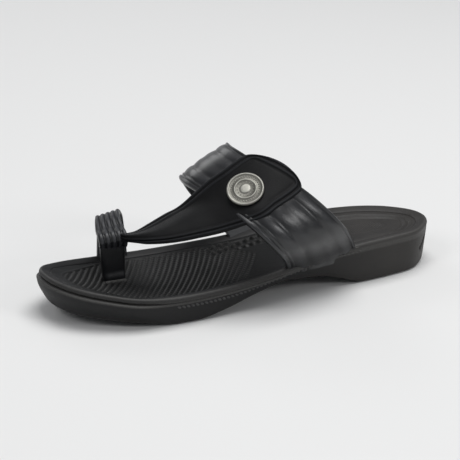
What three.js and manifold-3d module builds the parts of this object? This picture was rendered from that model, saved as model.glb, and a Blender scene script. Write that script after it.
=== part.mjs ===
// Women's slip-on sandal for the left foot: a moulded sole with a heel and an arch, a footbed let into it,
// an upper of instep band, T-strap, toe loop and toe post in one piece, and a round button on the T-strap.
// Millimetres. The toe points along -X, the heel along +X, -Y is the lateral side and +Y the medial side.
import * as THREE from 'three';
import { mergeVertices } from 'three/addons/utils/BufferGeometryUtils.js';
import Module from 'manifold-3d';

const wasm = await Module();
wasm.setup();

// Driving dimensions of the sole
const LENGTH = 250;
const HEEL_SPINE_END = 36;
const TOE_SPINE_END = 205;
const BUMPER_START = 186;
const BUMPER_FADE = 24;

// Driving dimensions of the footbed
const FIT_GAP = 0.3;
const BED_INSET = 7.6;
const BED_THICKNESS = 2.6;
const BED_DROP = 2.2;
const BED_BEVEL = 0.7;
const BED_RINGS = [0.7, 0.45, 0.15];
const FLOOR_RINGS = [0.55, 0.15];
const GROUND_RING = 0.2;

// Driving dimensions of the upper
const BAND_WALL = 2.4;
const BAND_BOW = 1.2;
const STRAP_WALL = 1.9;
const LOOP_WALL = 3;
const POST_THICKNESS = 5;
const SOCKET_EXTRA = 0.07;

// Driving dimensions of the button and of the flat seat under it
const BUTTON_CENTRE = [-10.6, -28.8, 70.3];
const BUTTON_AXIS = [-0.36, -0.52, 0.77];
const RECESS_RADIUS = 11.3;
const SEAT_RADIUS = 12.4;
const SEAT_DEPTH = 2.6;
const SEAT_TOP = 1.2;
const RECESS_HEIGHT = 8;

// Edges and slivers smaller than this are merged away
const SLIVER = 0.03;

// Number of facets along the outline of the sole, along each strap and round the button
const STATIONS = 40;
const BAND_STEPS = 30;
const LOOP_STEPS = 30;
const POST_STEPS = 6;
const STRAP_STEPS = 18;
const ROUND_STEPS = 32;

function table(columns, rows) {
  return rows.map((row) => Object.fromEntries(columns.map((name, i) => [name, row[i]])));
}

// Sections of the sole from the heel back to the toe tip: distance from the heel back, the y of both edges,
// the height of the rim on both edges and the height of the footbed's middle, which both ends rise from
const SOLE = table(['s', 'lateral', 'medial', 'rimLateral', 'rimMedial', 'bed'], [
  [0, 0, 0, 26, 26, 22.3],
  [8, -17.4, 15.9, 26.2, 26.2, 22.3],
  [20, -26.8, 25, 26.5, 26.4, 22.3],
  [38, -30.6, 31, 26.8, 26.7, 22.3],
  [60, -32.5, 34.3, 26.4, 26.2, 21.5],
  [90, -33, 32.9, 23.7, 23.5, 19.2],
  [120, -38.6, 34.9, 20.8, 20, 17],
  [150, -42.6, 39.4, 19, 17.4, 15.2],
  [180, -43, 43.2, 18, 16, 14],
  [205, -40.6, 42, 19.3, 17.5, 15],
  [225, -31.3, 36, 22, 20.4, 15],
  [238, -21.2, 28.8, 24.2, 23, 15],
  [246, -9.5, 21.2, 25.7, 25.3, 15],
  [250, 10, 10, 26.3, 26.3, 15],
]);

// Underside of the sole: distance from the heel back and height. It lies on the ground under the heel and
// under the ball of the foot, is hollow under the arch and rises to the toe.
const UNDERSIDE = table(['s', 'height'], [
  [0, 0],
  [58, 0],
  [72, 4.3],
  [84, 7.8],
  [98, 9.8],
  [113, 11.6],
  [134, 8.2],
  [156, 2.6],
  [170, 0],
  [184, 0],
  [197, 1.8],
  [222, 4.4],
  [250, 7],
]);

// Section of the sole's side wall: distance in from the outline, height above the underside, and how much
// further in it is round the toe
const SOLE_FOOT = table(['inset', 'above', 'toe'], [
  [6, 0, 1.5],
  [4, 0.6, 1.5],
  [2.6, 2.2, 1.4],
]);
const SIDE = { inset: 1.2, toe: -1 };

// Section of the sole's rim, over its top and into the recess of the footbed: distance in from the outline,
// depth below the rim, and how much further in it is round the toe, where the wall stands out as a bumper
const SOLE_RIM = table(['inset', 'below', 'toe'], [
  [0.3, 4.6, -1.2],
  [0.3, 3.8, -0.7],
  [0.3, 3.4, 1.5],
  [0.2, 2.6, 0.9],
  [0, 1.6, 0.7],
  [0.5, 0.5, 0.6],
  [1.8, 0, 0.4],
  [3.6, 0.4, 0.2],
  [7.3, 1.7, 0],
]);

// Outer face of the instep band from its lateral foot to its medial foot: front edge and rear edge.
// The first and the last row are below the rim, in the sole.
const BAND = table(['front', 'rear'], [
  [[12.5, -33.2, 16], [61, -28.8, 17.5]],
  [[12.5, -35.6, 20.5], [61, -31, 24]],
  [[-1, -53, 38], [43, -47, 48]],
  [[-16, -47, 55.5], [22, -40, 70]],
  [[-25, -22.5, 62.5], [4.5, -22, 81.5]],
  [[-34, 8, 67.5], [-2.5, 6, 86]],
  [[-26, 33.5, 61.5], [7.5, 33.5, 78]],
  [[-12, 48.5, 43], [27, 49, 54]],
  [[4, 33.2, 20.5], [47.7, 32, 24.5]],
  [[4, 31, 15.5], [47.7, 29.4, 18]],
]);

// Outer face of the toe loop from the lateral side of the post over its top and the big toe to the medial rim
const LOOP = table(['front', 'rear'], [
  [[-89.2, 3.4, 36.5], [-72.3, 2.8, 36]],
  [[-90, 1.8, 41], [-72.5, 0.6, 41.5]],
  [[-90, 4.2, 44.5], [-72.7, 3, 45.2]],
  [[-89, 10, 45.8], [-72, 9.5, 46.6]],
  [[-87.3, 16.5, 48], [-71.2, 17, 49.8]],
  [[-84.5, 24, 48.8], [-69, 25, 50.5]],
  [[-82, 31, 44.5], [-65.5, 32, 47.5]],
  [[-79, 38, 35], [-62, 39.5, 38]],
  [[-78, 42, 24], [-59.5, 43, 25]],
  [[-78.5, 41.4, 15], [-59.5, 41.3, 15.4]],
  [[-78.5, 40.8, 10], [-59.5, 40.7, 10.4]],
]);

// Lateral face of the post between the toes, from inside the sole up into the toe loop
const POST = table(['front', 'rear'], [
  [[-87, 4.2, 8.5], [-73.5, 4.2, 8.5]],
  [[-87, 4.2, 17], [-73.5, 4.2, 17]],
  [[-88.2, 4, 30], [-73.2, 4, 30]],
  [[-88.4, 3.4, 44], [-73.4, 3.4, 44]],
]);

// Outer face of the T-strap where it lies on the band: distance from its rear edge, how far back it is on
// the band (0 front edge, 1 rear edge) and how much further in its middle, its lateral and medial edge in
// rows of the band, and the height of both edges above the band
const STRAP_ON_BAND = table(['at', 'back', 'bow', 'lateral', 'medial', 'liftLateral', 'liftMedial'], [
  [0, 1.1, 0.12, 3.4, 4.28, 0.9, 1],
  [1.8, 1.06, 0.11, 3.18, 4.42, 0.9, 1.2],
  [6.5, 0.96, 0.07, 3.04, 4.48, 0.9, 1.5],
  [14.5, 0.78, 0.02, 3, 4.5, 0.9, 1.6],
  [26.5, 0.5, 0, 3, 4.51, 0.9, 1.5],
  [38.5, 0.21, 0, 3, 4.56, 1, 1.2],
]);

// Outer face of the T-strap in front of the band: distance from its rear edge, lateral edge, middle and
// medial edge
const STRAP_FREE = table(['at', 'lateral', 'middle', 'medial'], [
  [56, [-27, -40, 53.2], [-33, -22.5, 60], [-42, -4, 58.5]],
  [72, [-42, -33.8, 49.4], [-45.5, -20.5, 55.3], [-51.5, -2.5, 54]],
  [88, [-57, -27.5, 46.6], [-59, -18, 51], [-60.5, -0.5, 49]],
  [101, [-69.5, -18.5, 44.5], [-69, -13, 48.4], [-67, 3, 44.2]],
  [110, [-74.5, -8.5, 42.2], [-74.8, -5.5, 46], [-70.5, 5.5, 42.5]],
  [117, [-78, 3, 40], [-77.5, 4.5, 43.8], [-74, 7, 42]],
]);

// Sections across the straps: place from the front or lateral edge (0) to the other edge (1) and height
// of the ribs and welts above the outer face
const BAND_RIBS = table(['at', 'rise'], [
  [0, -0.6],
  [0.02, 0.4],
  [0.06, 0.5],
  [0.08, 0],
  [0.11, 0.5],
  [0.17, 0.5],
  [0.19, 0],
  [0.4, 0.1],
  [0.6, 0.1],
  [0.76, 0],
  [0.78, 0.5],
  [0.96, 0.6],
  [0.98, 0.4],
  [1, -0.6],
]);
const STRAP_RIBS = table(['at', 'rise'], [
  [0, -0.5],
  [0.02, 0.6],
  [0.07, 0.7],
  [0.1, 0.1],
  [0.13, 0.6],
  [0.18, 0.5],
  [0.21, 0],
  [0.36, 0.5],
  [0.5, 0.7],
  [0.64, 0.5],
  [0.79, 0],
  [0.82, 0.5],
  [0.87, 0.6],
  [0.9, 0.1],
  [0.93, 0.7],
  [0.98, 0.6],
  [1, -0.5],
]);
const LOOP_RIBS = table(['at', 'rise'], [
  [0, -0.5],
  [0.04, 0.6],
  [0.15, 0.6],
  [0.19, 0],
  [0.25, 0.6],
  [0.36, 0.6],
  [0.41, 0],
  [0.47, 0.6],
  [0.57, 0.6],
  [0.62, 0],
  [0.68, 0.6],
  [0.78, 0.6],
  [0.82, 0],
  [0.88, 0.6],
  [0.97, 0.6],
  [1, -0.5],
]);
const PLAIN = table(['at', 'rise'], [
  [0, 0],
  [0.5, 0],
  [1, 0],
]);

// Places along the T-strap where its rounded rear end is cut into facets
const STRAP_END = [0, 0.9, 1.8, 4, 7, 11];
const STRAP_BODY = [16, 117];

// Half section of the button: radius and height above its back
const BUTTON_SECTION = table(['radius', 'height'], [
  [0, 0],
  [11, 0],
  [11, 1.3],
  [10.3, 1.9],
  [9.2, 1.9],
  [8.6, 1.5],
  [6.4, 1.6],
  [5.8, 1.9],
  [0, 1.9],
]);

const TURNING_AXIS = new THREE.Vector3(0, 1, 0);
const vec = (p) => new THREE.Vector3(...p);
const smooth = (x) => THREE.MathUtils.smoothstep(x, 0, 1);

// A smooth curve through the rows' values: the slope at a row is that of its two neighbours
function curve(places, values) {
  const last = places.length - 1;
  const slope = (i) => {
    const a = Math.max(i - 1, 0);
    const b = Math.min(i + 1, last);
    return (values[b] - values[a]) / (places[b] - places[a]);
  };
  return (x) => {
    let i = 0;
    while (i < last - 1 && x > places[i + 1]) i += 1;
    const run = places[i + 1] - places[i];
    const t = (x - places[i]) / run;
    const rise = values[i + 1] - values[i];
    const a = slope(i) * run - rise;
    const b = rise - slope(i + 1) * run;
    return values[i] + t * rise + t * (1 - t) * ((1 - t) * a + t * b);
  };
}

function pointCurve(places, points) {
  const parts = [0, 1, 2].map((k) => curve(places, points.map((p) => p[k])));
  return (x) => new THREE.Vector3(parts[0](x), parts[1](x), parts[2](x));
}

// The rows of the sole are read along the angle of a half circle, which makes both ends round
const angleOf = (s) => Math.acos(1 - (2 * s) / LENGTH);
const stationOf = (angle) => (LENGTH * (1 - Math.cos(angle))) / 2;
const soleAngles = SOLE.map((row) => angleOf(row.s));
const soleCurves = Object.fromEntries(
  Object.keys(SOLE[0]).map((name) => [name, curve(soleAngles, SOLE.map((row) => row[name]))]),
);

const undersideCurve = curve(UNDERSIDE.map((row) => row.s), UNDERSIDE.map((row) => row.height));
const underside = (s) => Math.max(0, undersideCurve(s));

// One place on the outline of the sole, with the place on the spine that its section runs to
function outlinePlace(angle, side) {
  const s = stationOf(angle);
  const spine = THREE.MathUtils.clamp(s, HEEL_SPINE_END, TOE_SPINE_END);
  const spineAngle = angleOf(spine);
  const spineY = (soleCurves.lateral(spineAngle) + soleCurves.medial(spineAngle)) / 2;
  const edge = new THREE.Vector2(LENGTH / 2 - s, soleCurves[side](angle));
  const centre = new THREE.Vector2(LENGTH / 2 - spine, spineY);
  const rim = soleCurves[side === 'lateral' ? 'rimLateral' : 'rimMedial'](angle);
  const width = edge.distanceTo(centre);
  return { s, spine, edge, centre, rim, width, bed: soleCurves.bed(spineAngle) };
}

// The outline runs up the lateral side to the toe tip and back down the medial side
function outline() {
  const angle = (i) => (Math.PI * i) / STATIONS;
  const lateral = Array.from({ length: STATIONS + 1 }, (_, i) => outlinePlace(angle(i), 'lateral'));
  const back = (i) => outlinePlace(angle(STATIONS - 1 - i), 'medial');
  const medial = Array.from({ length: STATIONS - 1 }, (_, i) => back(i));
  return [...lateral, ...medial];
}

const inset = (distance, height) => (place) => {
  const share = 1 - distance / place.width;
  const at = place.centre.clone().lerp(place.edge, share);
  return [at.x, at.y, height(place, share)];
};
const inner = (share, height) => (place) => {
  const at = place.centre.clone().lerp(place.edge, share);
  return [at.x, at.y, height(place, share)];
};

// The top of the footbed is dished: low in the middle, up to a little below the rim at its edge
function bedHeight(place, share) {
  const edgeShare = 1 - BED_INSET / place.width;
  const across = Math.min(share / edgeShare, 1);
  return place.bed + (place.rim - BED_DROP - place.bed) * across ** 2;
}

function toSolid(positions, triangles) {
  const geometry = new THREE.BufferGeometry();
  geometry.setAttribute('position', new THREE.Float32BufferAttribute(positions, 3));
  geometry.setIndex(triangles);
  const merged = mergeVertices(geometry, 1e-4);
  const mesh = new wasm.Mesh({
    numProp: 3,
    vertProperties: new Float32Array(merged.attributes.position.array),
    triVerts: new Uint32Array(merged.index.array),
  });
  return new wasm.Manifold(mesh);
}

function toGeometry(solid) {
  const mesh = solid.simplify(SLIVER).getMesh();
  const geometry = new THREE.BufferGeometry();
  geometry.setAttribute('position', new THREE.Float32BufferAttribute(mesh.vertProperties, 3));
  geometry.setIndex(Array.from(mesh.triVerts));
  geometry.computeVertexNormals();
  return geometry;
}

// A solid from loops of the outline, the first one under it and the last one on top of it. The first and
// the last loop are closed by a strip across the foot between their lateral and medial places.
function loopSolid(loops) {
  const places = outline();
  const count = places.length;
  const positions = loops.flatMap((loop) => places.flatMap((place) => loop(place)));
  const triangles = [];
  for (let ring = 0; ring < loops.length - 1; ring += 1) {
    for (let i = 0; i < count; i += 1) {
      const a = ring * count + i;
      const b = ring * count + ((i + 1) % count);
      triangles.push(a, a + count, b, b, a + count, b + count);
    }
  }
  const top = (loops.length - 1) * count;
  const across = (i) => (count - i) % count;
  for (let i = 0; i < STATIONS; i += 1) {
    const quad = [i, i + 1, across(i + 1), across(i)];
    const corners = quad.filter((corner, k) => quad.indexOf(corner) === k);
    for (let k = 1; k < corners.length - 1; k += 1) {
      triangles.push(corners[0], corners[k], corners[k + 1]);
      triangles.push(top + corners[0], top + corners[k + 1], top + corners[k]);
    }
  }
  return toSolid(positions, triangles);
}

// The inner face of a wall of even thickness
const offset = (distance) => (point, normal) => point.clone().addScaledVector(normal, -distance);

// A wall with an outer face given by a surface and ribs that stand on it. The surface gives a point and
// its outward normal, along runs along the strap and the ribs run across it. The inner face is given by
// a function of the outer point and the normal.
function wallSolid(surface, along, ribs, innerFace, spread = 0) {
  const outer = [];
  const under = [];
  for (const place of along) {
    for (const rib of ribs) {
      const { point, normal } = surface(place, rib.at);
      outer.push(...point.clone().addScaledVector(normal, rib.rise + spread).toArray());
      under.push(...innerFace(point, normal).toArray());
    }
  }
  const columns = ribs.length;
  const size = along.length * columns;
  const triangles = [];
  const quad = (a, b, c, d) => triangles.push(a, b, c, a, c, d);
  for (let i = 0; i < along.length - 1; i += 1) {
    for (let k = 0; k < columns - 1; k += 1) {
      const a = i * columns + k;
      quad(a, a + 1, a + columns + 1, a + columns);
      quad(size + a, size + a + columns, size + a + columns + 1, size + a + 1);
    }
    const first = i * columns;
    const last = first + columns - 1;
    quad(first, first + columns, size + first + columns, size + first);
    quad(last, size + last, size + last + columns, last + columns);
  }
  for (let k = 0; k < columns - 1; k += 1) {
    const end = size - columns + k;
    quad(k, size + k, size + k + 1, k + 1);
    quad(end, end + 1, size + end + 1, size + end);
  }
  return toSolid([...outer, ...under], triangles);
}

// The outer face between a front and a rear edge, bowed by some height between them
function edgeSurface(rows, bow = 0, spread = 0) {
  const places = rows.map((_, i) => i);
  const front = pointCurve(places, rows.map((row) => row.front));
  const rear = pointCurve(places, rows.map((row) => row.rear));
  const ruled = (along, across) => front(along).lerp(rear(along), across);
  return (along, across) => {
    const step = 0.01;
    const width = rear(along).sub(front(along));
    const run = ruled(along + step, across).sub(ruled(along - step, across));
    const normal = width.clone().cross(run).normalize();
    const point = ruled(along, across).addScaledVector(normal, 4 * bow * across * (1 - across));
    point.addScaledVector(width.normalize(), (2 * across - 1) * spread);
    return { point, normal };
  };
}

function steps(from, to, count) {
  return Array.from({ length: count + 1 }, (_, i) => from + ((to - from) * i) / count);
}

const bandFace = edgeSurface(BAND, BAND_BOW);

// The T-strap follows the band and then runs down in front of it to the post
const strapPlaces = [...STRAP_ON_BAND, ...STRAP_FREE].map((row) => row.at);

function strapRow(across) {
  const onBand = STRAP_ON_BAND.map((row) => {
    const back = row.back + 4 * row.bow * across * (1 - across);
    const { point, normal } = bandFace(THREE.MathUtils.lerp(row.lateral, row.medial, across), back);
    const lift = THREE.MathUtils.lerp(row.liftLateral, row.liftMedial, across ** 2);
    return point.addScaledVector(normal, lift).toArray();
  });
  const free = STRAP_FREE.map((row) => {
    const arc = pointCurve([0, 0.5, 1], [row.lateral, row.middle, row.medial]);
    return arc(across).toArray();
  });
  return pointCurve(strapPlaces, [...onBand, ...free]);
}

function strapFace(along, across) {
  const step = 0.01;
  const row = strapRow(across);
  const point = row(along);
  const run = row(along + step).sub(row(along - step));
  const near = strapRow(Math.max(across - step, 0))(along);
  const far = strapRow(Math.min(across + step, 1))(along);
  const normal = run.cross(far.sub(near)).normalize().negate();
  return { point, normal };
}

// Places along a strap that is given by rows. A socket runs on a little past both ends.
function placesAlong(rows, count, spread = 0) {
  const last = rows.length - 1;
  const places = steps(0, last, count);
  return spread ? [-SOCKET_EXTRA, ...places, last + SOCKET_EXTRA] : places;
}

// The band, the toe loop and the post with some spread are also the shape of their sockets in the sole
function band(spread = 0) {
  const face = edgeSurface(BAND, BAND_BOW, spread);
  const along = placesAlong(BAND, BAND_STEPS, spread);
  return wallSolid(face, along, BAND_RIBS, offset(BAND_WALL + spread), spread);
}

function toeLoop(spread = 0) {
  const face = edgeSurface(LOOP, 0, spread);
  const along = placesAlong(LOOP, LOOP_STEPS, spread);
  return wallSolid(face, along, LOOP_RIBS, offset(LOOP_WALL + spread), spread);
}

function post(spread = 0) {
  const face = edgeSurface(POST, 0, spread);
  const along = placesAlong(POST, POST_STEPS, spread);
  return wallSolid(face, along, PLAIN, offset(POST_THICKNESS + spread), spread);
}

function tStrap() {
  const along = [...STRAP_END, ...steps(...STRAP_BODY, STRAP_STEPS)];
  return wallSolid(strapFace, along, STRAP_RIBS, offset(STRAP_WALL));
}

function placedAlong(geometry, centre, direction) {
  const turn = new THREE.Quaternion().setFromUnitVectors(TURNING_AXIS, vec(direction).normalize());
  geometry.applyQuaternion(turn);
  geometry.translate(...centre);
  return geometry;
}

function geometryToSolid(geometry) {
  geometry.deleteAttribute('normal');
  geometry.deleteAttribute('uv');
  const merged = mergeVertices(geometry, 1e-4);
  return toSolid(Array.from(merged.attributes.position.array), Array.from(merged.index.array));
}

const axis = vec(BUTTON_AXIS).normalize();
const seatTop = vec(BUTTON_CENTRE).addScaledVector(axis, SEAT_TOP);

function seatCylinder(radius, from, to) {
  const cylinder = new THREE.CylinderGeometry(radius, radius, to - from, ROUND_STEPS);
  const centre = seatTop.clone().addScaledVector(axis, (from + to) / 2);
  return geometryToSolid(placedAlong(cylinder, centre.toArray(), BUTTON_AXIS));
}

// The button is a turned disc with a rounded edge and two rings
function buttonGeometry() {
  const section = BUTTON_SECTION.map((row) => new THREE.Vector2(row.radius, row.height));
  const bottom = seatTop.clone().addScaledVector(axis, FIT_GAP);
  return placedAlong(new THREE.LatheGeometry(section, ROUND_STEPS), bottom.toArray(), BUTTON_AXIS);
}

function soleSolid() {
  const under = (place, share) => underside(THREE.MathUtils.lerp(place.spine, place.s, share));
  const above = (rise) => (place, share) => under(place, share) + rise;
  const below = (drop) => (place) => place.rim - drop;
  const halfway = (place) => (underside(place.s) + place.rim) / 2;
  const floor = (place, share) => bedHeight(place, share) - BED_THICKNESS - FIT_GAP;
  const toeShare = (place) => smooth((place.s - BUMPER_START) / BUMPER_FADE);
  const section = (row, height) => (place) => inset(row.inset + row.toe * toeShare(place), height)(place);
  const body = loopSolid([
    inner(GROUND_RING, above(0)),
    ...SOLE_FOOT.map((row) => section(row, above(row.above))),
    section(SIDE, halfway),
    ...SOLE_RIM.map((row) => section(row, below(row.below))),
    inset(BED_INSET - FIT_GAP, floor),
    ...FLOOR_RINGS.map((share) => inner(share, floor)),
  ]);
  return body.subtract(band(FIT_GAP)).subtract(toeLoop(FIT_GAP)).subtract(post(FIT_GAP));
}

function footbedSolid() {
  const under = (place, share) => bedHeight(place, share) - BED_THICKNESS;
  const bevel = (place) => place.rim - BED_DROP - BED_BEVEL;
  const body = loopSolid([
    ...FLOOR_RINGS.toReversed().map((share) => inner(share, under)),
    inset(BED_INSET, under),
    inset(BED_INSET, bevel),
    inset(BED_INSET + BED_BEVEL, bedHeight),
    ...BED_RINGS.map((share) => inner(share, bedHeight)),
  ]);
  return body.subtract(post(FIT_GAP));
}

function upperSolid() {
  const straps = band().add(tStrap()).add(toeLoop()).add(post());
  const recess = seatCylinder(RECESS_RADIUS, 0, RECESS_HEIGHT);
  return straps.add(seatCylinder(SEAT_RADIUS, -SEAT_DEPTH, 0)).subtract(recess);
}

function piece(name, geometry, color, roughness, metalness) {
  const mesh = new THREE.Mesh(geometry, new THREE.MeshStandardMaterial({ color, roughness, metalness }));
  mesh.name = name;
  return mesh;
}

const sandal = new THREE.Group();
sandal.add(
  piece('sole', toGeometry(soleSolid()), 0x2b2b2c, 0.75, 0),
  piece('footbed', toGeometry(footbedSolid()), 0x333231, 0.8, 0),
  piece('upper', toGeometry(upperSolid()), 0x222224, 0.5, 0),
  piece('button', buttonGeometry(), 0xb9b6ac, 0.35, 0.8),
);

// The origin is under the middle of the whole sandal, on the ground
const middle = new THREE.Box3().setFromObject(sandal).getCenter(new THREE.Vector3());
sandal.position.set(-middle.x, -middle.y, 0);

export default sandal;
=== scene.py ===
"""Looks of a women's slip-on sandal for the left foot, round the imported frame.

The shape tables are those of the part's source, in millimetres before its shift onto the origin. The toe
points along -X, the heel along +X, -Y is the lateral side and +Y the medial side.
"""
import math

import bpy
import numpy as np
from mathutils import Matrix, Vector


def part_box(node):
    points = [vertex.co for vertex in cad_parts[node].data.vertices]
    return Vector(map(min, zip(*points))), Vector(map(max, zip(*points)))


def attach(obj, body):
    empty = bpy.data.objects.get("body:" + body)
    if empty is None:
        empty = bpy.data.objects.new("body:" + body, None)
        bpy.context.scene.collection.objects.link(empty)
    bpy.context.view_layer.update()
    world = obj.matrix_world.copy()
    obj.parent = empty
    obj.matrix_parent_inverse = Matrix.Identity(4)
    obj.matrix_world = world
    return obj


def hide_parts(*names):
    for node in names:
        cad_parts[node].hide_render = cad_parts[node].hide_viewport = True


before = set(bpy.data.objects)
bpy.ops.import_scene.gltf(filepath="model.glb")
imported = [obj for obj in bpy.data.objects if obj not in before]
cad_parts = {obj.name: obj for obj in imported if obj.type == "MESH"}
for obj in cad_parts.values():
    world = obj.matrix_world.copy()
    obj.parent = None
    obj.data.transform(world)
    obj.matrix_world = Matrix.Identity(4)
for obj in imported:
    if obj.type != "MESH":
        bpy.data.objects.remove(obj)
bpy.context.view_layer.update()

MM = 0.001
TURN = 2 * math.pi

# Shape tables, as in the part's source

LENGTH = 250
HEEL_SPINE_END = 36
TOE_SPINE_END = 205
BUMPER_START = 186
BUMPER_FADE = 24
FIT_GAP = 0.3
BED_INSET = 7.6
BED_THICKNESS = 2.6
BED_DROP = 2.2
BED_BEVEL = 0.7
BAND_WALL = 2.4
BAND_BOW = 1.2
STRAP_WALL = 1.9
LOOP_WALL = 3
POST_THICKNESS = 5
BUTTON_CENTRE = (-10.6, -28.8, 70.3)
BUTTON_AXIS = (-0.36, -0.52, 0.77)
SEAT_TOP = 1.2

# Sections of the sole: distance from the heel back, lateral and medial y, lateral and medial rim, bed
SOLE = np.array([
    [0, 0, 0, 26, 26, 22.3],
    [8, -17.4, 15.9, 26.2, 26.2, 22.3],
    [20, -26.8, 25, 26.5, 26.4, 22.3],
    [38, -30.6, 31, 26.8, 26.7, 22.3],
    [60, -32.5, 34.3, 26.4, 26.2, 21.5],
    [90, -33, 32.9, 23.7, 23.5, 19.2],
    [120, -38.6, 34.9, 20.8, 20, 17],
    [150, -42.6, 39.4, 19, 17.4, 15.2],
    [180, -43, 43.2, 18, 16, 14],
    [205, -40.6, 42, 19.3, 17.5, 15],
    [225, -31.3, 36, 22, 20.4, 15],
    [238, -21.2, 28.8, 24.2, 23, 15],
    [246, -9.5, 21.2, 25.7, 25.3, 15],
    [250, 10, 10, 26.3, 26.3, 15],
])
LATERAL, MEDIAL, RIM_LATERAL, RIM_MEDIAL, BED = 1, 2, 3, 4, 5

# Underside of the sole: distance from the heel back and height
UNDERSIDE = [
    (0, 0), (58, 0), (72, 4.3), (84, 7.8), (98, 9.8), (113, 11.6), (134, 8.2), (156, 2.6), (170, 0), (184, 0),
    (197, 1.8), (222, 4.4), (250, 7),
]

# Foot of the side wall: distance in from the outline, height above the underside, and how much further in it
# is round the toe
SOLE_FOOT = [(9, 0, 1), (6, 0, 1.5), (4, 0.6, 1.5), (2.6, 2.2, 1.4)]
SIDE = (1.2, -1)
# Rim of the sole and the way down into the footbed's recess: distance in from the outline, depth below the
# rim, how much further in it is round the toe, and its share of the fine groove along the rest of the side
SOLE_RIM = [
    (0.3, 4.6, -1.2, 0), (0.3, 4.2, -1.1, 0), (0.3, 3.85, -0.6, 0.2), (0.3, 3.6, 0.9, 0.8),
    (0.3, 3.4, 1.7, 1), (0.25, 3.15, 1.6, 0.8), (0.2, 2.9, 1.1, 0.2), (0.1, 2.5, 0.8, 0), (0, 2.1, 0.7, 0),
    (0, 1.6, 0.7, 0), (0.15, 1, 0.7, 0), (0.5, 0.5, 0.6, 0), (1.1, 0.13, 0.5, 0), (1.8, 0, 0.4, 0),
    (2.7, 0.12, 0.3, 0), (3.6, 0.4, 0.2, 0), (5, 0.85, 0.1, 0), (6.4, 1.35, 0, 0), (7.1, 1.75, 0, 0),
    (7.3, 2.1, 0, 0),
]
FINE_GROOVE_DEPTH = 0.55
FINE_GROOVE_START = 108
FINE_GROOVE_FADE = 10

# Outer faces of the instep band, the toe loop and the toe post: rows of a front edge and a rear edge
BAND = np.array([
    [[12.5, -33.2, 16], [61, -28.8, 17.5]],
    [[12.5, -35.6, 20.5], [61, -31, 24]],
    [[-1, -53, 38], [43, -47, 48]],
    [[-16, -47, 55.5], [22, -40, 70]],
    [[-25, -22.5, 62.5], [4.5, -22, 81.5]],
    [[-34, 8, 67.5], [-2.5, 6, 86]],
    [[-26, 33.5, 61.5], [7.5, 33.5, 78]],
    [[-12, 48.5, 43], [27, 49, 54]],
    [[4, 33.2, 20.5], [47.7, 32, 24.5]],
    [[4, 31, 15.5], [47.7, 29.4, 18]],
])
LOOP = np.array([
    [[-89.2, 3.4, 36.5], [-72.3, 2.8, 36]],
    [[-90, 1.8, 41], [-72.5, 0.6, 41.5]],
    [[-90, 4.2, 44.5], [-72.7, 3, 45.2]],
    [[-89, 10, 45.8], [-72, 9.5, 46.6]],
    [[-87.3, 16.5, 48], [-71.2, 17, 49.8]],
    [[-84.5, 24, 48.8], [-69, 25, 50.5]],
    [[-82, 31, 44.5], [-65.5, 32, 47.5]],
    [[-79, 38, 35], [-62, 39.5, 38]],
    [[-78, 42, 24], [-59.5, 43, 25]],
    [[-78.5, 41.4, 15], [-59.5, 41.3, 15.4]],
    [[-78.5, 40.8, 10], [-59.5, 40.7, 10.4]],
])
POST = np.array([
    [[-87, 4.2, 8.5], [-73.5, 4.2, 8.5]],
    [[-87, 4.2, 17], [-73.5, 4.2, 17]],
    [[-88.2, 4, 30], [-73.2, 4, 30]],
    [[-88.4, 3.4, 44], [-73.4, 3.4, 44]],
])
# The T-strap on the band: distance from its rear edge, how far back on the band and how much further in its
# middle, both edges in rows of the band, and the height of both edges above the band
STRAP_ON_BAND = np.array([
    [0, 1.1, 0.12, 3.4, 4.28, 0.9, 1],
    [1.8, 1.06, 0.11, 3.18, 4.42, 0.9, 1.2],
    [6.5, 0.96, 0.07, 3.04, 4.48, 0.9, 1.5],
    [14.5, 0.78, 0.02, 3, 4.5, 0.9, 1.6],
    [26.5, 0.5, 0, 3, 4.51, 0.9, 1.5],
    [38.5, 0.21, 0, 3, 4.56, 1, 1.2],
])
STRAP_FREE_AT = [56, 72, 88, 101, 110, 117]
STRAP_FREE = np.array([
    [[-27, -40, 53.2], [-33, -22.5, 60], [-42, -4, 58.5]],
    [[-42, -33.8, 49.4], [-45.5, -20.5, 55.3], [-51.5, -2.5, 54]],
    [[-57, -27.5, 46.6], [-59, -18, 51], [-60.5, -0.5, 49]],
    [[-69.5, -18.5, 44.5], [-69, -13, 48.4], [-67, 3, 44.2]],
    [[-74.5, -8.5, 42.2], [-74.8, -5.5, 46], [-70.5, 5.5, 42.5]],
    [[-78, 3, 40], [-77.5, 4.5, 43.8], [-74, 7, 42]],
])

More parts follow.
